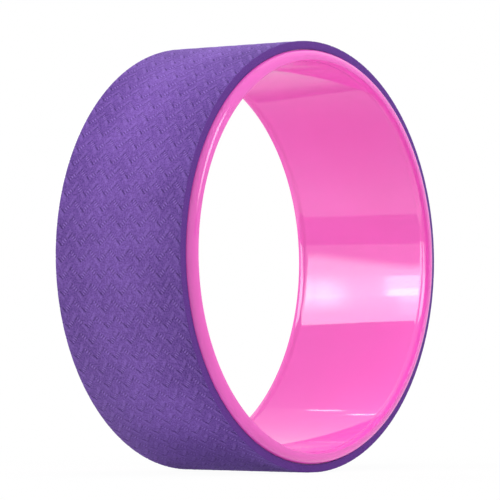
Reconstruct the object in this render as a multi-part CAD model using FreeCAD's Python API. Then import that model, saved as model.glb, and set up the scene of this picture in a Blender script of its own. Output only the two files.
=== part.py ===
import FreeCAD, Part
import math
import os

# A yoga wheel standing on its tread. The wheel's centre is the origin, its axle line is Y, and +Z is up.
# A plastic tube has a rounded rim ring glued flush into each end and a foam pad stuck round the outside.

# Whole wheel, in millimetres
WHEEL_DIAMETER = 330.0
WHEEL_WIDTH = 130.0

# Foam pad, die-cut from sheet, wrapped once round the tube with its two ends butted. Its cut edges
# are set back from the rims' faces.
PAD_SETBACK = 5.5
PAD_THICKNESS = 6.3
PAD_EDGE_ROUND = 0.6
PAD_SEAM_WIDTH = 0.4
PAD_SEAM_DEGREES = -35.0
FLOOR_FLAT_DEPTH = 0.3

# Adhesive film between the pad and the tube, which stops short of the pad's cut edges
FILM_THICKNESS = 0.3
FILM_MARGIN = 1.3

# Plastic tube, turned out at each end to a seat for the rim ring's skirt
TUBE_WALL = 8.3

# Rim ring: a rounded lip in front of the tube's end, whose inner side is crowned, and a skirt that lies
# flush in the tube's seat
LIP_WIDTH = 6.0
LIP_STEP = 0.6
LIP_FACE_LAND = 0.5
LIP_INNER_ROUND = 1.0
LIP_INNER_LAND = 1.5
LIP_CROWN_RADIUS = 12.0
LIP_SHOULDER_LAND = 0.7
COVE_RADIUS = 12.0
SKIRT_WALL = 2.5
SKIRT_LAND = 8.0
RIM_GLUE_THICKNESS = 0.3

# Radii, from the tread inwards
tread_radius = WHEEL_DIAMETER / 2
pad_inner_radius = tread_radius - PAD_THICKNESS
tube_outer_radius = pad_inner_radius - FILM_THICKNESS
wall_radius = tube_outer_radius - TUBE_WALL
skirt_outer_radius = wall_radius + SKIRT_WALL
seat_radius = skirt_outer_radius + RIM_GLUE_THICKNESS
lip_inner_radius = wall_radius - LIP_STEP

# The lip's inner side, from its back edge: a straight land, the crown, and a small round to the face
crown_reach = LIP_CROWN_RADIUS - LIP_INNER_ROUND
crown_turn = math.asin((LIP_WIDTH - LIP_INNER_LAND - LIP_INNER_ROUND) / crown_reach)
crown_middle_radius = lip_inner_radius + LIP_CROWN_RADIUS
face_inner_radius = crown_middle_radius - crown_reach * math.cos(crown_turn)
lip_outer_round = tube_outer_radius - face_inner_radius - LIP_FACE_LAND

# Distances from the wheel's middle plane, from the rim's face inwards
face_place = WHEEL_WIDTH / 2
shoulder_place = face_place - lip_outer_round - LIP_SHOULDER_LAND
tube_end_place = shoulder_place - RIM_GLUE_THICKNESS
lip_back_place = face_place - LIP_WIDTH
cove_turn = math.acos((COVE_RADIUS - LIP_STEP) / COVE_RADIUS)
cove_end_place = lip_back_place - COVE_RADIUS * math.sin(cove_turn)
skirt_end_place = cove_end_place - SKIRT_LAND
pad_edge_place = face_place - PAD_SETBACK
film_edge_place = pad_edge_place - FILM_MARGIN

CENTRE = FreeCAD.Vector(0, 0, 0)
AXLE_LINE = FreeCAD.Vector(0, 1, 0)
FULL_TURN = 360.0
QUARTER_TURN = math.pi / 2
EIGHTH_TURN = math.pi / 4
CUBIC_MM_PER_CUBIC_CM = 1000.0


def point(radius, place):
    """A point of a section, drawn in the plane through the axle line."""
    return FreeCAD.Vector(radius, place, 0)


def on_round(middle, radius, angle):
    """The point of a round about its middle, with the angle counted from straight outwards."""
    return middle[0] + radius * math.cos(angle), middle[1] + radius * math.sin(angle)


def section(start, *steps):
    """A flat face. Each step is the end of a straight edge, or a point on an arc and the arc's end."""
    edges = []
    here = point(*start)
    for step in steps + ((start,),):
        stops = [point(*stop) for stop in step]
        if len(stops) == 1:
            edge = Part.LineSegment(here, stops[0])
        else:
            edge = Part.Arc(here, *stops)
        edges.append(edge.toShape())
        here = stops[-1]
    return Part.Face(Part.Wire(edges))


def turned(face, degrees=FULL_TURN):
    """The solid that a section sweeps out round the axle line, from the pad's seam on."""
    solid = face.revolve(CENTRE, AXLE_LINE, degrees)
    solid.rotate(CENTRE, AXLE_LINE, -PAD_SEAM_DEGREES)
    return solid


def core_tube():
    """The tube, with a seat turned out at each end."""
    half = (
        (wall_radius, skirt_end_place),
        (seat_radius, skirt_end_place),
        (seat_radius, tube_end_place),
        (tube_outer_radius, tube_end_place),
    )
    front_half = [(radius, -place) for radius, place in reversed(half)]
    corners = [*half, *front_half]
    return turned(section(corners[0], *[(corner,) for corner in corners[1:]]))


def rear_rim_ring():
    """The lip's outer corner is one large round, and its inner side is crowned. Behind it, a shallow
    cove runs out into the wall."""
    outer_middle = (tube_outer_radius - lip_outer_round, face_place - lip_outer_round)
    inner_middle = (face_inner_radius, face_place - LIP_INNER_ROUND)
    crown_middle = (crown_middle_radius, lip_back_place + LIP_INNER_LAND)
    cove_middle = (wall_radius - COVE_RADIUS, cove_end_place)
    nose_turn = (QUARTER_TURN - crown_turn) / 2
    return turned(
        section(
            (skirt_outer_radius, shoulder_place),
            ((tube_outer_radius, shoulder_place),),
            ((tube_outer_radius, outer_middle[1]),),
            (on_round(outer_middle, lip_outer_round, EIGHTH_TURN), (outer_middle[0], face_place)),
            ((inner_middle[0], face_place),),
            (
                on_round(inner_middle, LIP_INNER_ROUND, math.pi - crown_turn - nose_turn),
                on_round(inner_middle, LIP_INNER_ROUND, math.pi - crown_turn),
            ),
            (
                on_round(crown_middle, LIP_CROWN_RADIUS, math.pi - crown_turn / 2),
                (lip_inner_radius, crown_middle[1]),
            ),
            ((lip_inner_radius, lip_back_place),),
            (on_round(cove_middle, COVE_RADIUS, cove_turn / 2), (wall_radius, cove_end_place)),
            ((wall_radius, skirt_end_place),),
            ((skirt_outer_radius, skirt_end_place),),
        )
    )


def rear_rim_glue():
    """The bond line round the skirt and across the tube's end."""
    return turned(
        section(
            (skirt_outer_radius, skirt_end_place),
            ((seat_radius, skirt_end_place),),
            ((seat_radius, tube_end_place),),
            ((tube_outer_radius, tube_end_place),),
            ((tube_outer_radius, shoulder_place),),
            ((skirt_outer_radius, shoulder_place),),
        )
    )


def pad_section():
    """The strip's cut section, with its two outer edges eased."""
    round_place = pad_edge_place - PAD_EDGE_ROUND
    round_radius = tread_radius - PAD_EDGE_ROUND
    rear_round = on_round((round_radius, round_place), PAD_EDGE_ROUND, EIGHTH_TURN)
    front_round = on_round((round_radius, -round_place), PAD_EDGE_ROUND, -EIGHTH_TURN)
    return section(
        (pad_inner_radius, -pad_edge_place),
        ((round_radius, -pad_edge_place),),
        (front_round, (tread_radius, -round_place)),
        ((tread_radius, round_place),),
        (rear_round, (round_radius, pad_edge_place)),
        ((pad_inner_radius, pad_edge_place),),
    )


def pad_and_seam():
    """The strip, flattened a little where the wheel stands, and the glue line between its ends."""
    seam_turn = math.degrees(PAD_SEAM_WIDTH / tread_radius)
    seam = turned(pad_section(), seam_turn)
    strip = turned(pad_section(), seam_turn - FULL_TURN)
    floor_slab = Part.makeBox(WHEEL_DIAMETER, WHEEL_WIDTH, PAD_THICKNESS)
    floor_slab.translate(
        FreeCAD.Vector(-tread_radius, -face_place, FLOOR_FLAT_DEPTH - tread_radius - PAD_THICKNESS)
    )
    return strip.cut(floor_slab), seam


def pad_adhesive():
    """The film between the tube and the pad."""
    return turned(
        section(
            (tube_outer_radius, -film_edge_place),
            ((pad_inner_radius, -film_edge_place),),
            ((pad_inner_radius, film_edge_place),),
            ((tube_outer_radius, film_edge_place),),
        )
    )


def mirrored(solid):
    """The same piece at the front end of the wheel."""
    return solid.mirror(CENTRE, AXLE_LINE)


foam_pad, pad_seam_glue = pad_and_seam()
pieces = {
    "core_tube": core_tube(),
    "front_rim_ring": mirrored(rear_rim_ring()),
    "rear_rim_ring": rear_rim_ring(),
    "front_rim_glue": mirrored(rear_rim_glue()),
    "rear_rim_glue": rear_rim_glue(),
    "pad_adhesive": pad_adhesive(),
    "foam_pad": foam_pad,
    "pad_seam_glue": pad_seam_glue,
}

os.makedirs("parts", exist_ok=True)
for name, shape in pieces.items():
    solid = shape.Solids[0]
    solid.exportStep(f"parts/{name}.step")
    volume = solid.Volume / CUBIC_MM_PER_CUBIC_CM
    print(f"{name}: {volume:.2f} cm3, valid {solid.isValid()}")
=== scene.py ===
"""A yoga wheel standing on a pale floor.

A pink plastic tube has a rounded rim ring in each end, and a purple foam pad is wrapped round the outside.
The pad's tread is embossed with a herringbone of short threads. The wheel's centre is the origin, its axle
line is Y and +Z is up. Lengths are in metres.
"""

import math

import bmesh
import bpy
from mathutils import Color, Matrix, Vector

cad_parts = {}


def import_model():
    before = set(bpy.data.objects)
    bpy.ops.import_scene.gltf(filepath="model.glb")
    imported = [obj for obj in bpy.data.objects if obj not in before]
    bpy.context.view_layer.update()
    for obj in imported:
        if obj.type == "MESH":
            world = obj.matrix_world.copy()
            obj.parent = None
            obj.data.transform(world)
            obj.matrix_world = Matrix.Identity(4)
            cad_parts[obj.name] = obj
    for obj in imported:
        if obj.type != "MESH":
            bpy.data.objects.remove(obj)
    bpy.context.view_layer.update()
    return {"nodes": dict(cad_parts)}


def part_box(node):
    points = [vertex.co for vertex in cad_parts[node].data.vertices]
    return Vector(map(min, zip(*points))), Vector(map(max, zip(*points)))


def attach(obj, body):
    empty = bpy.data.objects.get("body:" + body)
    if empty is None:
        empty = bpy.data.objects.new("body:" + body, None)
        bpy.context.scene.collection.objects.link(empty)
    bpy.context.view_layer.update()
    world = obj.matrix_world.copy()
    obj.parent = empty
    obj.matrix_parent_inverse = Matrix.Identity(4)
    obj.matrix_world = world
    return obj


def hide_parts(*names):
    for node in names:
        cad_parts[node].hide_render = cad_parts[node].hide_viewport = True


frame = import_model()

MM = 0.001
FULL_TURN = 2 * math.pi
HALF_TURN = math.pi
QUARTER_TURN = math.pi / 2
HIGHEST_SCREEN_VALUE = 255


def srgb(*screen_values):
    """A colour as a shader takes it, from one written as it looks on screen, from 0 to 255."""
    shares = Color([value / HIGHEST_SCREEN_VALUE for value in screen_values])
    return (*shares.from_srgb_to_scene_linear(), 1.0)


# Radii of the pieces, from the tread inwards
TREAD_RADIUS = 165.0 * MM
PAD_INNER_RADIUS = 158.7 * MM
TUBE_OUTER_RADIUS = 158.4 * MM
SEAT_RADIUS = 152.9 * MM
SKIRT_OUTER_RADIUS = 152.6 * MM
WALL_RADIUS = 150.1 * MM
LIP_INNER_RADIUS = 149.5 * MM

# Distances from the wheel's middle plane, and the floor's height, which the frame gives
PAD_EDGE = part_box("foam_pad")[1].y
TUBE_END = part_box("core_tube")[1].y
RIM_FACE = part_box("rear_rim_ring")[1].y
SKIRT_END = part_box("rear_rim_ring")[0].y
FLOOR_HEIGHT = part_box("foam_pad")[0].z

# Rim ring
LIP_WIDTH = 6.0 * MM
LIP_FACE_LAND = 0.5 * MM
LIP_INNER_ROUND = 1.0 * MM
LIP_INNER_LAND = 1.5 * MM
LIP_CROWN_RADIUS = 12.0 * MM
LIP_SHOULDER_LAND = 0.7 * MM
COVE_RADIUS = 12.0 * MM

# Steps of the turned pieces
ROUND_STEPS = 12
LATHE_STEPS = 360
LATHE_SHARP_ANGLE = math.radians(40)

# Foam pad: its eased edges and its seam
PAD_EDGE_ROUND = 0.6 * MM
EDGE_ROUND_STEPS = 3
PAD_SEAM_ANGLE = math.radians(-35)
PAD_SEAM_WIDTH = 0.4 * MM
PAD_SHARP_ANGLE = math.radians(60)

# Lattice of the tread, which the emboss repeats on. It is counted in half rows round the tread and in half
# columns across it. The nudge keeps the mesh's points off the lines where the pattern starts again.
EMBOSS_REPEATS = 83
HALF_ROWS_PER_REPEAT = 18
HALF_ROWS = EMBOSS_REPEATS * HALF_ROWS_PER_REPEAT
HALF_ROW_ANGLE = FULL_TURN / HALF_ROWS
HALF_COLUMNS_TO_EDGE = 76
HALF_COLUMN = (PAD_EDGE - PAD_EDGE_ROUND) / HALF_COLUMNS_TO_EDGE
TIP_ROW = 739
TIP_COLUMN = 3
TIP_NUDGE = 0.01

# Forms of the herringbone, in steps of the lattice along an arm or beside it
ARM_STEPS = 12
LINE_HALF_WIDTH = 0.6
ROOT_HALF_WIDTH = 0.8
STROKE_MIDDLE = 2.0
STROKE_HALF_LENGTH = 3.0
STROKE_FADE = 0.35
COMB_MIDDLE = 9.0
COMB_HALF_LENGTH = 4.4
TOOTH_MIDDLE = 0.9
TOOTH_HALF_WIDTH = 1.5
LEAF_MIDDLE = 1.8
LEAF_HALF_LENGTH = 4.2
LEAF_LEAN = 0.25
LEAF_SIDE = 1.9
LEAF_HALF_WIDTH = 1.3
EASE_STEEPNESS = 2.0

# Named inputs of the node tree that presses the emboss
EMBOSS_SIZES = {
    "Tread radius": TREAD_RADIUS,
    "Edge round": PAD_EDGE_ROUND,
    "Half column": HALF_COLUMN,
    "Half row angle": HALF_ROW_ANGLE,
    "Tip angle": PAD_SEAM_ANGLE + TIP_ROW * HALF_ROW_ANGLE,
    "Stroke depth": 0.55 * MM,
    "Comb depth": 0.5 * MM,
    "Leaf height": 0.12 * MM,
    "Floor height": FLOOR_HEIGHT,
}

# Colours of the finishes, most of them as a deep and a pale tone
PLASTIC_TONES = (srgb(250, 92, 203), srgb(254, 104, 211))
FOAM_TONES = (srgb(82, 48, 129), srgb(122, 84, 175))
# Paler tones painted along the middle of the tread as painted light; the tones above stay towards its edges
# as painted shade
PAINTED_LIGHT_FOAM_TONES = (srgb(95, 59, 144), srgb(138, 99, 194))
CUT_FOAM_TONES = (srgb(92, 50, 138), srgb(104, 60, 150))
# Painted highlight for the emboss's ridges and leaves, and painted shade for its strokes, roots and grooves
EMBOSS_HIGHLIGHT = srgb(162, 124, 218)
EMBOSS_SHADE = srgb(50, 20, 90)
GLUE_TONES = (srgb(226, 196, 206), srgb(240, 222, 226))
SEAM_GLUE_TONES = (srgb(52, 30, 84), srgb(78, 48, 118))
FLOOR_TONES = (srgb(243, 243, 243), srgb(247, 247, 247))
BLACK = srgb(0, 0, 0)
WHITE = srgb(255, 255, 255)

# Pink plastic. Here and below, lumps and cells are counted per metre.
PLASTIC_IOR = 1.58
FLOW_CLOUDS = {"lumps": 14.0, "detail": 3.0}
HANDLING_MARKS = {"lumps": 45.0, "detail": 4.0}
DRAW_LINES = {"lumps": 150.0, "detail": 2.0, "stretch": (1, 0.03, 1)}
DRAW_LINE_BUMP = {"depth": 0.03 * MM, "strength": 0.4}
PLASTIC_SKIN = {"lumps": 1400.0, "detail": 1.0}
PLASTIC_SKIN_BUMP = {"depth": 0.01 * MM, "strength": 0.1}
PLASTIC_ROUGHNESS = 0.02
HANDLING_ROUGHNESS = 0.025
DRAW_LINE_ROUGHNESS = 0.015

# Purple foam, and how far the forms of the emboss turn its skin to a painted highlight on the ridges and
# leaves and to painted shade in the strokes, roots and grooves
FOAM_SPECULAR = 0.25
FOAM_GRAIN = {"lumps": 800.0, "detail": 3.0}
FOAM_GRAIN_SHARE = 0.75
FOAM_CLOUDS = {"lumps": 30.0, "detail": 3.0}
FOAM_TONE_RANGE = (0.3, 0.7)
FOAM_CELLS = 1100.0
FOAM_CELL_RANGE = (0.1, 0.7)
FOAM_BUMP = {"depth": 0.12 * MM, "strength": 0.6}
FOAM_ROUGHNESS = 0.75
FOAM_GRAIN_ROUGHNESS = 0.2
# Painted light along the middle of the tread, fading to painted shade towards its edges
PAINTED_LIGHT_RANGE = (0.1 * PAD_EDGE, 0.95 * PAD_EDGE)
CUT_RANGE = (PAD_EDGE - PAD_EDGE_ROUND, PAD_EDGE - PAD_EDGE_ROUND / 4)
# Shares of painted highlight and of painted shade that the forms of the emboss give the skin
HIGHLIGHT_FORMS = {"ridge": 0.55, "leaf": 0.2}
SHADE_FORMS = {"stroke": 0.55, "root": 0.5, "groove": 0.27}

# Set glue round the skirts and under the pad, and in the pad's seam
GLUE_IOR = 1.48
GLUE_BUBBLES = 700.0
GLUE_BUBBLE_RANGE = (0.1, 0.5)
GLUE_ROUGHNESS = 0.25
GLUE_BUBBLE_ROUGHNESS = 0.2
SEAM_LUMPS = {"lumps": 600.0, "detail": 3.0}
SEAM_BUMP = {"depth": 0.1 * MM, "strength": 0.7}
SEAM_ROUGHNESS = 0.45
SEAM_LUMP_ROUGHNESS = 0.3

# Camera, fitted to the outlines of the pad and the rims
CAMERA_AZIMUTH = math.radians(-52.986)
CAMERA_ELEVATION = math.radians(-1.779)
CAMERA_DISTANCE = 2.5565
CAMERA_LENS = 237.41
AIM_RIGHT = -1.5 * MM
AIM_UP = 6.14 * MM

# Floor. To the camera it glows nearly white, and the glow that it gives the wheel is weaker.
FLOOR_SIZE = 60.0
FLOOR_ROUGHNESS = 0.9
FLOOR_SPECULAR = 0.1
FLOOR_CLOUDS = {"lumps": 3.0, "detail": 2.0}
FLOOR_GLOW_SHARE = 0.965
FLOOR_FILL = 0.2
SHADOW_FADE = (0.15, 0.6)
WORLD_LIGHT = 0.25

# Softboxes: name, place, size and power
SOFTBOXES = (
    ("overhead_softbox", (-0.32, -0.4, 1.7), (1.6, 1.6), 18.0),
    ("front_softbox", (0.9, -1.9, 1.4), (1.2, 1.2), 20.0),
    ("window", (-0.95, 1.5, 1.1), (0.9, 1.2), 23.0),
)

# Window that the wall mirrors. It stands where the mirrored line of sight leads, and is measured across,
# from right to left, and upwards. Each bar has its right and left side, its foot, its head and its light.
WINDOW_SIDE = Vector((math.sin(CAMERA_AZIMUTH), math.cos(CAMERA_AZIMUTH), 0))
WINDOW_ACROSS = Vector((math.cos(CAMERA_AZIMUTH), -math.sin(CAMERA_AZIMUTH), 0))
WINDOW_DISTANCE = 1.2
WINDOW_SIDES = (-0.5, 0.5)
WINDOW_ENDS = (-0.15, 0.742)
WINDOW_POWER = 16.0
WINDOW_BOW = 0.267
SILL_LIGHT = 0.12
SILL_SLANT = 1.2
SILL_RANGE = (0.02, 0.15)
PANE_LIGHT = 0.24
PANE_MIDDLE_LIGHT = 0.1
PANE_MIDDLE = (0.03, 0.34, 0.7)
HAZE_LIGHT = 0.3
HAZE_ACROSS = (0.055, 0.096, 0.135)
HAZE_HEIGHT = (0.1, 0.36, 0.62)
BAR_SIDE_EASE = 0.002
BAR_END_EASE = 0.012
WINDOW_BARS = (
    (-0.021, 0.018, 0.19, 0.42, 0.24),
    (-0.021, 0.016, 0.34, 0.42, 0.24),
    (-0.0175, 0.001, 0.42, 0.5, 0.2),
    (-0.0175, 0.001, 0.5, 0.66, 0.08),
    (0.066, 0.12, 0.375, 0.417, 0.06),
)

# White glowing sheet just over the floor behind the wheel, dimmed by a painted shadow of the wheel, and a
# second one beyond its slanted edge
SHEET_LIFT = 1 * MM
SHEET_SIDES = (-0.266, 1.0)
SHEET_ENDS = (0.07, 1.2)
SHEET_POWER = 2.0
# Painted shadow of the wheel on the sheet: how much it dims the glow, and where
SHEET_PAINTED_SHADOW = 0.6
SHEET_PAINTED_SHADOW_RANGE = (-0.2, 0.12)
SHEET_SLANT = 0.4
SHEET_EDGE_RANGE = (0.298, 0.308)
SECOND_SHEET_LIGHT = 0.17
SECOND_SHEET_GAIN = 0.28
SECOND_SHEET_RANGE = (0.31, 0.43)

# Ceiling with two small lights. Each has its place and reach along X, the same along Y, and its light.
CEILING_HEIGHT = 1.5
CEILING_SIDES = (0.46, 3.5)
CEILING_ENDS = (-1.0, 3.0)
CEILING_POWER = 12.0
CEILING_LIGHT = 0.1
CEILING_SPOTS = (
    (0.497, 0.022, 1.195, 0.032, 0.36),
    (0.602, 0.02, 1.158, 0.015, 0.6),
)

# Tall card in front of the wheel, which fades towards its foot
FRONT_CARD_PLACE = -2.2
FRONT_CARD_SIDES = (-0.45, 0.25)
FRONT_CARD_ENDS = (0.2, 2.4)
FRONT_CARD_POWER = 7.5
FRONT_CARD_FADE = (0.3, 0.9)

# A Mix node's sockets for its factor and its two colours
MIX_FACTOR = 0
MIX_LOW_COLOUR = 6
MIX_HIGH_COLOUR = 7


class Signal:
    """A node's output. Arithmetic on it adds Math nodes to its tree, and node() adds any other node."""

    def __init__(self, tree, socket=None):
        self.tree = tree
        self.socket = socket

    def node(self, kind, settings=None, inputs=None):
        """A new node's first output in use, after its settings are made and its inputs set or linked."""
        made = self.tree.nodes.new(kind)
        for name, value in (settings or {}).items():
            setattr(made, name, value)
        for name, value in (inputs or {}).items():
            if isinstance(value, Signal):
                self.tree.links.new(value.socket, made.inputs[name])
            else:
                made.inputs[name].default_value = value
        in_use = [output for output in made.outputs if output.enabled]
        return Signal(self.tree, in_use[0] if in_use else None)

    def out(self, name):
        """Another output of the same node."""
        return Signal(self.tree, self.socket.node.outputs[name])

    def axes(self):
        """The three parts of a vector."""
        apart = self.node("ShaderNodeSeparateXYZ", None, {0: self})
        return [apart.out(axis) for axis in "XYZ"]

    def math(self, operation, *values):
        return self.node("ShaderNodeMath", {"operation": operation}, dict(enumerate((self, *values))))

    def reflected(self, operation, value):
        return self.node("ShaderNodeMath", {"operation": operation}, {0: value, 1: self})

    def __add__(self, other):
        return self.math("ADD", other)

    def __radd__(self, other):
        return self.reflected("ADD", other)

    def __sub__(self, other):
        return self.math("SUBTRACT", other)

    def __rsub__(self, other):
        return self.reflected("SUBTRACT", other)

    def __mul__(self, other):
        return self.math("MULTIPLY", other)

    def __rmul__(self, other):
        return self.reflected("MULTIPLY", other)

    def __truediv__(self, other):
        return self.math("DIVIDE", other)

    def __rtruediv__(self, other):
        return self.reflected("DIVIDE", other)

    def peak(self, *others):
        """The highest of several values."""
        highest = self
        for other in others:
            highest = highest.math("MAXIMUM", other)
        return highest

    def limited(self):
        """The value kept between 0 and 1."""
        return self.math("MAXIMUM", 0).math("MINIMUM", 1)

    def ramp(self, low, high):
        """0 below low, 1 above high, and eased between them."""
        return self.node(
            "ShaderNodeMapRange",
            {"interpolation_type": "SMOOTHSTEP"},
            {"Value": self, "From Min": low, "From Max": high},
        )

    def hump(self, low, middle, high):
        """1 at the middle, eased to 0 at low and at high."""
        return self.ramp(low, middle) * (1 - self.ramp(middle, high))

    def between(self, low, high, ease):
        """1 from low to high and 0 elsewhere, eased at both ends."""
        return self.ramp(low - ease, low + ease) * (1 - self.ramp(high - ease, high + ease))

    def near(self, middle, reach):
        """1 near the middle, falling to 0 at the reach."""
        away = (self - middle) / reach
        return (EASE_STEEPNESS * (1 - away * away)).limited()

    def tinted(self, low_colour, high_colour):
        """One colour where the value is 0 and another where it is 1."""
        inputs = {MIX_FACTOR: self, MIX_LOW_COLOUR: low_colour, MIX_HIGH_COLOUR: high_colour}
        return self.node("ShaderNodeMix", {"data_type": "RGBA"}, inputs)


def finish_material(name, paint, **constants):
    """A material whose Principled shader takes its constants as given and what paint() returns as links."""
    material = bpy.data.materials.new(name)
    material.use_nodes = True
    tree = material.node_tree
    shader = tree.nodes["Principled BSDF"]
    for socket, value in constants.items():
        shader.inputs[socket.replace("_", " ")].default_value = value
    place = Signal(tree).node("ShaderNodeTexCoord").out("Object")
    for socket, value in paint(place).items():
        tree.links.new(value.socket, shader.inputs[socket])
    return material


def noise(place, lumps, detail, stretch=(1, 1, 1)):
    """Soft noise about the middle of its range."""
    stretched = place.node("ShaderNodeVectorMath", {"operation": "MULTIPLY"}, {0: place, 1: stretch})
    return place.node("ShaderNodeTexNoise", None, {"Vector": stretched, "Scale": lumps, "Detail": detail})


def cells(place, count):
    """The distance from the middle of the nearest of many cells."""
    inputs = {"Vector": place, "Scale": count}
    return place.node("ShaderNodeTexVoronoi", {"feature": "F1"}, inputs).out("Distance")


def bumped(height, depth, strength, below=None):
    """The surface normal over small lumps of that depth."""
    inputs = {"Height": height, "Distance": depth, "Strength": strength}
    if below is not None:
        inputs["Normal"] = below
    return height.node("ShaderNodeBump", None, inputs)


def pink_plastic(place):
    """Glossy moulded plastic: faint flow clouds in the colour, draw lines along the axle and a fine skin."""
    draw_lines = noise(place, **DRAW_LINES)
    drawn = bumped(draw_lines, **DRAW_LINE_BUMP)
    handled = HANDLING_ROUGHNESS * noise(place, **HANDLING_MARKS)
    return {
        "Base Color": noise(place, **FLOW_CLOUDS).tinted(*PLASTIC_TONES),
        "Roughness": PLASTIC_ROUGHNESS + handled + DRAW_LINE_ROUGHNESS * draw_lines,
        "Normal": bumped(noise(place, **PLASTIC_SKIN), **PLASTIC_SKIN_BUMP, below=drawn),
    }


def purple_foam(place):
    """Closed-cell foam: a grained matte skin with painted light along the middle of the tread and painted
    shade towards its edges, painted highlights on the thread ridges and leaves, painted shade in the
    strokes, roots and grooves of the emboss, and open cells where the strip is cut."""
    x, y, z = place.axes()
    emboss = emboss_pattern(x, y, z, EMBOSS_SIZES)
    from_middle = y.math("ABSOLUTE")
    cut = from_middle.ramp(*CUT_RANGE)
    # Painted light along the middle of the tread, painted shade towards its edges
    painted_light_middle = 1 - from_middle.ramp(*PAINTED_LIGHT_RANGE)
    grain = noise(place, **FOAM_GRAIN)
    clouds = noise(place, **FOAM_CLOUDS)
    open_cells = cells(place, FOAM_CELLS)
    tone = (FOAM_GRAIN_SHARE * grain + (1 - FOAM_GRAIN_SHARE) * clouds).ramp(*FOAM_TONE_RANGE)
    skin = painted_light_middle.tinted(tone.tinted(*FOAM_TONES), tone.tinted(*PAINTED_LIGHT_FOAM_TONES))
    # Painted highlight on the ridges and leaves, then painted shade in the strokes, roots and grooves
    skin = strongest(emboss, HIGHLIGHT_FORMS).tinted(skin, EMBOSS_HIGHLIGHT)
    skin = strongest(emboss, SHADE_FORMS).tinted(skin, EMBOSS_SHADE)
    cut_face = open_cells.ramp(*FOAM_CELL_RANGE).tinted(*CUT_FOAM_TONES)
    return {
        "Base Color": cut.tinted(skin, cut_face),
        "Roughness": FOAM_ROUGHNESS + FOAM_GRAIN_ROUGHNESS * grain,
        "Normal": bumped(grain * (1 - cut) + open_cells * cut, **FOAM_BUMP),
    }


def strongest(emboss, shares):
    """The strongest of some forms of the emboss, each weighed by its share."""
    first, *others = [share * emboss[form] for form, share in shares.items()]
    return first.peak(*others)


def clear_glue(place):
    """Set adhesive, milky with small bubbles."""
    bubbles = cells(place, GLUE_BUBBLES)
    return {
        "Base Color": bubbles.ramp(*GLUE_BUBBLE_RANGE).tinted(*GLUE_TONES),
        "Roughness": GLUE_ROUGHNESS + GLUE_BUBBLE_ROUGHNESS * bubbles,
    }


def seam_glue(place):
    """The dark line of contact glue between the strip's butted ends."""
    lumps = noise(place, **SEAM_LUMPS)
    return {
        "Base Color": lumps.tinted(*SEAM_GLUE_TONES),
        "Roughness": SEAM_ROUGHNESS + SEAM_LUMP_ROUGHNESS * lumps,
        "Normal": bumped(lumps, **SEAM_BUMP),
    }


def pale_floor(place):
    """Plain pale studio floor."""
    return {"Base Color": noise(place, **FLOOR_CLOUDS).tinted(*FLOOR_TONES)}


def piece(name, mesh, slot, *nodes):
    """A finished piece that rides on the wheel and stands for those nodes of the frame."""
    made = bpy.data.objects.new(name, mesh)
    bpy.context.scene.collection.objects.link(made)
    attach(made, "root")
    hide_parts(*nodes)
    return made


def arc(middle, radius, start, end, steps=ROUND_STEPS):
    """Points along a round, with the angle counted from straight outwards towards the rear."""
    angles = [start + (end - start) * step / steps for step in range(steps + 1)]
    return [(middle[0] + radius * math.cos(a), middle[1] + radius * math.sin(a)) for a in angles]


def turned(name, outline, material):
    """The closed mesh that an outline of radii and places sweeps out round the axle line."""
    shape = bmesh.new()
    corners = [shape.verts.new((radius, place, 0)) for radius, place in outline]
    edges = [shape.edges.new((corners[i - 1], corners[i])) for i in range(len(corners))]
    bmesh.ops.spin(
        shape,
        geom=corners + edges,
        cent=(0, 0, 0),
        axis=(0, 1, 0),
        angle=FULL_TURN,
        steps=LATHE_STEPS,
        use_merge=True,
    )
    bmesh.ops.recalc_face_normals(shape, faces=shape.faces)
    mesh = bpy.data.meshes.new(name)
    shape.to_mesh(mesh)
    shape.free()
    mesh.materials.append(material)
    mesh.shade_smooth()
    mesh.set_sharp_from_angle(angle=LATHE_SHARP_ANGLE)
    return mesh


def tube():
    """A thick tube, turned out at each end to a seat for the rim ring's skirt."""
    half = [
        (WALL_RADIUS, SKIRT_END),
        (SEAT_RADIUS, SKIRT_END),
        (SEAT_RADIUS, TUBE_END),
        (TUBE_OUTER_RADIUS, TUBE_END),
    ]
    outline = half + [(radius, -place) for radius, place in reversed(half)]
    piece("tube", turned("tube", outline, plastic), "tube_plastic", "core_tube")


def rim_outline():
    """The rear rim ring's section: a lip with one large outer round and a crowned inner side, and a shallow
    cove back to the skirt."""
    crown_reach = LIP_CROWN_RADIUS - LIP_INNER_ROUND
    crown_turn = math.asin((LIP_WIDTH - LIP_INNER_LAND - LIP_INNER_ROUND) / crown_reach)
    crown_middle = (LIP_INNER_RADIUS + LIP_CROWN_RADIUS, RIM_FACE - LIP_WIDTH + LIP_INNER_LAND)
    inner_middle = (crown_middle[0] - crown_reach * math.cos(crown_turn), RIM_FACE - LIP_INNER_ROUND)
    outer_round = TUBE_OUTER_RADIUS - inner_middle[0] - LIP_FACE_LAND
    outer_middle = (TUBE_OUTER_RADIUS - outer_round, RIM_FACE - outer_round)
    shoulder = outer_middle[1] - LIP_SHOULDER_LAND
    step = WALL_RADIUS - LIP_INNER_RADIUS
    cove_turn = math.acos((COVE_RADIUS - step) / COVE_RADIUS)
    cove_end = RIM_FACE - LIP_WIDTH - COVE_RADIUS * math.sin(cove_turn)
    return [
        (SKIRT_OUTER_RADIUS, shoulder),
        (TUBE_OUTER_RADIUS, shoulder),
        *arc(outer_middle, outer_round, 0, QUARTER_TURN),
        *arc(inner_middle, LIP_INNER_ROUND, QUARTER_TURN, HALF_TURN - crown_turn),
        *arc(crown_middle, LIP_CROWN_RADIUS, HALF_TURN - crown_turn, HALF_TURN)[1:],
        *arc((WALL_RADIUS - COVE_RADIUS, cove_end), COVE_RADIUS, cove_turn, 0),
        (WALL_RADIUS, SKIRT_END),
        (SKIRT_OUTER_RADIUS, SKIRT_END),
    ]


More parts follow.
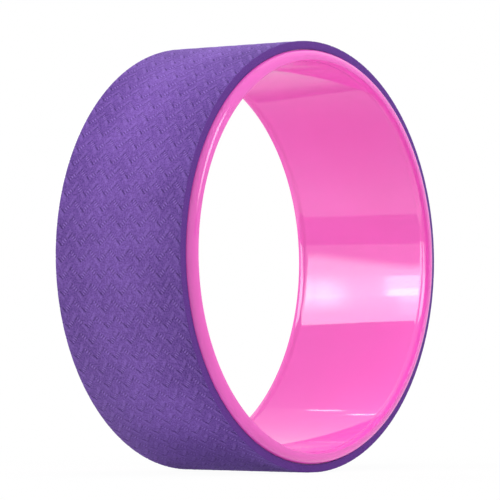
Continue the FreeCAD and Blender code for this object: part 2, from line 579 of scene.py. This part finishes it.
def rims():
    """The two rim rings, which mirror each other."""
    for end, side in (("front", -1), ("rear", 1)):
        outline = [(radius, side * place) for radius, place in rim_outline()]
        mesh = turned(f"{end}_rim", outline, plastic)
        piece(f"{end}_rim", mesh, "rim_plastic", f"{end}_rim_ring")


def pad_blank():
    """The strip before it is embossed. Every other row of its tread is moved half a column, so that the
    mesh has edges along the arms and threads of the emboss."""
    round_middle = (TREAD_RADIUS - PAD_EDGE_ROUND, PAD_EDGE - PAD_EDGE_ROUND)
    rear_round = arc(round_middle, PAD_EDGE_ROUND, 0, QUARTER_TURN, EDGE_ROUND_STEPS)
    front_round = [(radius, -place) for radius, place in reversed(rear_round)]
    under = [(PAD_INNER_RADIUS, place) for place in (PAD_EDGE, 0, -PAD_EDGE)]
    sides = rear_round[1:] + under + front_round[:-1]
    columns = range(-HALF_COLUMNS_TO_EDGE, HALF_COLUMNS_TO_EDGE + 1, 2)
    half_gap = PAD_SEAM_WIDTH / TREAD_RADIUS / 2
    points = []
    for row in range(HALF_ROWS + 1):
        angle = PAD_SEAM_ANGLE + min(max(row * HALF_ROW_ANGLE, half_gap), FULL_TURN - half_gap)
        shift = (row + TIP_ROW + TIP_COLUMN) % 2
        tread = [column + shift * (abs(column) < HALF_COLUMNS_TO_EDGE) for column in columns]
        section = [(TREAD_RADIUS, column * HALF_COLUMN) for column in tread] + sides
        points += [(r * math.cos(angle), place, r * math.sin(angle)) for r, place in section]

    size = len(columns) + len(sides)
    last = HALF_ROWS * size
    faces = []
    for here in range(0, last, size):
        for i in range(size):
            before = (i - 1) % size
            faces.append((here + before, here + i, here + size + i, here + size + before))
    faces += [range(size), range(last, last + size)]
    mesh = bpy.data.meshes.new("pad_blank")
    mesh.from_pydata(points, [], faces)
    return mesh


def emboss_pattern(x, y, z, size):
    """Where a point lies in the herringbone, as shares from 0 to 1: in a stroke, at the root of a thread's
    groove, in the groove, on the ridge beside it, and on a leaf. A zigzag runs across the tread in every
    repeat. Each of its arms starts with one stroke, which a leaf lies beside, and goes on as a comb."""
    rows = (size["Tip angle"] - z.math("ARCTAN2", x)) / size["Half row angle"]
    columns = y / size["Half column"] + (TIP_COLUMN + TIP_NUDGE)
    arm_height = columns.math("PINGPONG", ARM_STEPS)
    falling = columns.math("WRAP", 2 * ARM_STEPS, 0).math("GREATER_THAN", ARM_STEPS)
    half_repeat = HALF_ROWS_PER_REPEAT / 2
    above = (rows - arm_height).math("WRAP", half_repeat, -half_repeat) / 2
    beside = above * (2 * falling - 1)
    along = arm_height + above
    along = falling * (ARM_STEPS - along) + (1 - falling) * along

    in_stroke = along.near(STROKE_MIDDLE, STROKE_HALF_LENGTH) * (1 - STROKE_FADE * falling)
    in_comb = along.near(COMB_MIDDLE, COMB_HALF_LENGTH)
    in_teeth = in_comb * beside.near(TOOTH_MIDDLE, TOOTH_HALF_WIDTH)
    in_leaf = along.near(LEAF_MIDDLE, LEAF_HALF_LENGTH)
    leaf_side = beside + LEAF_LEAN * (along - LEAF_MIDDLE)
    groove = (1 + (along * HALF_TURN).math("COSINE")) / 2
    return {
        "stroke": in_stroke * beside.near(0, LINE_HALF_WIDTH),
        "root": in_comb * beside.near(0, ROOT_HALF_WIDTH) * groove,
        "groove": in_teeth * groove,
        "ridge": in_teeth * (1 - groove),
        "leaf": in_leaf * leaf_side.near(LEAF_SIDE, LEAF_HALF_WIDTH),
    }


def emboss_tree():
    """Presses the herringbone into the tread, and flattens the strip where the wheel stands."""
    tree = bpy.data.node_groups.new("herringbone_emboss", "GeometryNodeTree")
    tree.interface.new_socket("Strip", in_out="OUTPUT", socket_type="NodeSocketGeometry")
    tree.interface.new_socket("Strip", in_out="INPUT", socket_type="NodeSocketGeometry")
    for name in EMBOSS_SIZES:
        tree.interface.new_socket(name, in_out="INPUT", socket_type="NodeSocketFloat")
    given = Signal(tree, tree.nodes.new("NodeGroupInput").outputs["Strip"])
    size = {name: given.out(name) for name in EMBOSS_SIZES}
    x, y, z = given.node("GeometryNodeInputPosition").axes()
    radius = (x * x + z * z).math("SQRT")
    on_tread = (1 - (size["Tread radius"] - radius) / size["Edge round"]).limited()
    emboss = emboss_pattern(x, y, z, size)
    flat = 1 - emboss["leaf"].peak(emboss["ridge"])
    depth = (emboss["stroke"] * size["Stroke depth"]).peak(
        emboss["groove"] * size["Comb depth"], flat * size["Leaf height"]
    )
    shrink = 1 - on_tread * depth / radius
    pressed = given.node(
        "ShaderNodeCombineXYZ",
        None,
        {"X": x * shrink, "Y": y, "Z": (z * shrink).peak(size["Floor height"])},
    )
    moved = given.node("GeometryNodeSetPosition", None, {"Geometry": given, "Position": pressed})
    faceted = given.node("GeometryNodeTriangulate", None, {"Mesh": moved})
    whole = given.node("GeometryNodeRealizeInstances", None, {"Geometry": faceted})
    coated = given.node("GeometryNodeSetMaterial", None, {"Geometry": whole, "Material": foam})
    result = tree.nodes.new("NodeGroupOutput")
    tree.links.new(coated.socket, result.inputs["Strip"])
    return tree


def as_plain_mesh(made, name):
    """What an object's modifiers make of it, as a mesh of its own whose faces point outwards."""
    graph = bpy.context.evaluated_depsgraph_get()
    mesh = bpy.data.meshes.new_from_object(made.evaluated_get(graph))
    mesh.name = name
    shape = bmesh.new()
    shape.from_mesh(mesh)
    bmesh.ops.recalc_face_normals(shape, faces=shape.faces)
    shape.to_mesh(mesh)
    shape.free()
    return mesh


def pad():
    """The foam strip, wrapped round the tube and embossed."""
    blank = bpy.data.objects.new("pad_blank", pad_blank())
    bpy.context.scene.collection.objects.link(blank)
    tree = emboss_tree()
    press = blank.modifiers.new("emboss", "NODES")
    press.node_group = tree
    for name, value in EMBOSS_SIZES.items():
        press[tree.interface.items_tree[name].identifier] = value
    mesh = as_plain_mesh(blank, "embossed_pad")
    bpy.data.objects.remove(blank)
    mesh.shade_smooth()
    mesh.set_sharp_from_angle(angle=PAD_SHARP_ANGLE)
    made = piece("embossed_pad", mesh, "pad_foam", "foam_pad")


def coat_bonds():
    """The finishes of the four bonds, which keep the frame's own meshes."""
    for name, material in (
        ("front_rim_glue", glue),
        ("rear_rim_glue", glue),
        ("pad_adhesive", glue),
        ("pad_seam_glue", seam),
    ):
        node = frame["nodes"][name]
        node.data.materials.clear()
        node.data.materials.append(material)


def softbox(name, place, size, power):
    """A soft lamp that points at the wheel's centre and doesn't show, not in gloss either."""
    light = bpy.data.lights.new(name, "AREA")
    light.shape = "RECTANGLE"
    light.size, light.size_y = size
    light.energy = power
    lamp = bpy.data.objects.new(name, light)
    lamp.location = place
    lamp.rotation_euler = (-Vector(place)).to_track_quat("-Z", "Y").to_euler()
    lamp.visible_camera = False
    lamp.visible_glossy = False
    bpy.context.scene.collection.objects.link(lamp)


def studio():
    """The floor, the lamps, the cards that the plastic mirrors and the world."""
    bpy.ops.mesh.primitive_plane_add(size=FLOOR_SIZE, location=(0, 0, FLOOR_HEIGHT))
    floor = bpy.context.object
    floor.name = "floor"
    floor.data.materials.append(floor_material())
    for name, place, size, power in SOFTBOXES:
        softbox(name, place, size, power)
    mirrored_cards()
    world()


def rectangle(sides, ends):
    """Its four corners, in order round it."""
    return [(sides[0], ends[0]), (sides[1], ends[0]), (sides[1], ends[1]), (sides[0], ends[1])]


def mirrored_cards():
    """Glowing cards that only show mirrored in the plastic."""
    window = []
    for across, height in rectangle(WINDOW_SIDES, WINDOW_ENDS):
        corner = WINDOW_DISTANCE * WINDOW_SIDE + across * WINDOW_ACROSS
        window.append((corner.x, corner.y, height))
    glow_card("window_card", window, window_glow, WINDOW_POWER)
    sheet = [(x, y, FLOOR_HEIGHT + SHEET_LIFT) for x, y in rectangle(SHEET_SIDES, SHEET_ENDS)]
    glow_card("sheet_card", sheet, sheet_glow, SHEET_POWER)
    ceiling = [(x, y, CEILING_HEIGHT) for x, y in rectangle(CEILING_SIDES, CEILING_ENDS)]
    glow_card("ceiling_card", ceiling, ceiling_glow, CEILING_POWER)
    front = [(x, FRONT_CARD_PLACE, z) for x, z in rectangle(FRONT_CARD_SIDES, FRONT_CARD_ENDS)]
    glow_card("front_card", front, front_glow, FRONT_CARD_POWER)


def glow_card(name, corners, light_at, power):
    """A flat card that glows as light_at() says, and shows in gloss alone."""

    def paint(place):
        return {"Emission Color": light_at(*place.axes()).tinted(BLACK, WHITE)}

    mesh = bpy.data.meshes.new(name)
    mesh.from_pydata(corners, [], [range(len(corners))])
    made = bpy.data.objects.new(name, mesh)
    bpy.context.scene.collection.objects.link(made)
    material = finish_material(
        name, paint, Base_Color=BLACK, Emission_Strength=power, Specular_IOR_Level=0.0
    )
    mesh.materials.append(material)
    made.visible_camera = False
    made.visible_diffuse = False
    made.visible_shadow = False


def window_glow(x, y, z):
    """A pane over a slanted sill, brightest at half its height, with a soft haze and a few bars. They bow,
    so that they look straight in the curved wall."""
    across = x * WINDOW_ACROSS.x + y * WINDOW_ACROSS.y - WINDOW_BOW * (z * z)
    above_sill = (z + SILL_SLANT * across).ramp(*SILL_RANGE)
    light = SILL_LIGHT + PANE_LIGHT * above_sill + PANE_MIDDLE_LIGHT * z.hump(*PANE_MIDDLE)
    light = light + HAZE_LIGHT * across.hump(*HAZE_ACROSS) * z.hump(*HAZE_HEIGHT)
    for right, left, foot, head, bar_light in WINDOW_BARS:
        bar = across.between(right, left, BAR_SIDE_EASE) * z.between(foot, head, BAR_END_EASE)
        light = light + bar_light * bar
    return light.limited()


def sheet_glow(x, y, z):
    """A white sheet, dimmed by a painted shadow of the wheel towards an edge under it, and behind it a
    second one that brightens.
    """
    slanted = x + SHEET_SLANT * y
    # Painted shadow of the wheel
    first = 1 - SHEET_PAINTED_SHADOW * x.ramp(*SHEET_PAINTED_SHADOW_RANGE)
    second = SECOND_SHEET_LIGHT + SECOND_SHEET_GAIN * slanted.ramp(*SECOND_SHEET_RANGE)
    beyond = slanted.ramp(*SHEET_EDGE_RANGE)
    return first * (1 - beyond) + second * beyond


def ceiling_glow(x, y, z):
    """A pale ceiling with two small lights."""
    light = CEILING_LIGHT
    for x_place, x_reach, y_place, y_reach, spot_light in CEILING_SPOTS:
        light = light + spot_light * x.near(x_place, x_reach) * y.near(y_place, y_reach)
    return light


def front_glow(x, y, z):
    """A tall card that fades towards its foot."""
    return z.ramp(*FRONT_CARD_FADE)


def white_to_camera(tree):
    """1 for what the camera sees straight on, in a gloss or through glass."""
    path = Signal(tree).node("ShaderNodeLightPath")
    return path.peak(path.out("Is Glossy Ray"), path.out("Is Transmission Ray"))


def floor_material():
    """The pale floor, mixed with a white glow that leaves the wheel's shadow to be seen."""
    material = finish_material(
        "pale_floor", pale_floor, Roughness=FLOOR_ROUGHNESS, Specular_IOR_Level=FLOOR_SPECULAR
    )
    tree = material.node_tree
    base = Signal(tree, tree.nodes["Principled BSDF"].outputs[0])
    place = base.node("ShaderNodeTexCoord").out("Object")
    away = base.node("ShaderNodeVectorMath", {"operation": "LENGTH"}, {0: place})
    white = FLOOR_GLOW_SHARE + (1 - FLOOR_GLOW_SHARE) * away.ramp(*SHADOW_FADE)
    glow = base.node("ShaderNodeEmission", None, {"Color": WHITE, "Strength": 1.0})
    seen = white_to_camera(tree)
    share = white * seen + FLOOR_FILL * (1 - seen)
    mixed = base.node("ShaderNodeMixShader", None, {0: share, 1: base, 2: glow})
    tree.links.new(mixed.socket, tree.nodes["Material Output"].inputs["Surface"])
    return material


def world():
    """White to the camera, and a weaker even light on the wheel."""
    scene = bpy.context.scene
    scene.world = bpy.data.worlds.new("studio")
    scene.world.use_nodes = True
    tree = scene.world.node_tree
    strength = WORLD_LIGHT + (1 - WORLD_LIGHT) * white_to_camera(tree)
    tree.links.new(strength.socket, tree.nodes["Background"].inputs["Strength"])
    tree.nodes["Background"].inputs["Color"].default_value = WHITE


def camera():
    """The camera, looking at the wheel a little past its centre."""
    back = Vector(
        (
            math.sin(CAMERA_AZIMUTH) * math.cos(CAMERA_ELEVATION),
            -math.cos(CAMERA_AZIMUTH) * math.cos(CAMERA_ELEVATION),
            math.sin(CAMERA_ELEVATION),
        )
    )
    right = Vector((math.cos(CAMERA_AZIMUTH), math.sin(CAMERA_AZIMUTH), 0))
    up = back.cross(right)
    lens = bpy.data.cameras.new("camera")
    lens.lens = CAMERA_LENS
    lens.clip_end = FLOOR_SIZE * 2
    made = bpy.data.objects.new("camera", lens)
    made.location = back * CAMERA_DISTANCE + right * AIM_RIGHT + up * AIM_UP
    made.rotation_euler = (-back).to_track_quat("-Z", "Y").to_euler()
    bpy.context.scene.collection.objects.link(made)
    bpy.context.scene.camera = made


plastic = finish_material("pink_plastic", pink_plastic, IOR=PLASTIC_IOR)
foam = finish_material("purple_foam", purple_foam, Specular_IOR_Level=FOAM_SPECULAR)
glue = finish_material("clear_glue", clear_glue, IOR=GLUE_IOR)
seam = finish_material("seam_glue", seam_glue)

tube()
rims()
pad()
coat_bonds()
studio()
camera()
bpy.context.scene.view_settings.view_transform = "Standard"
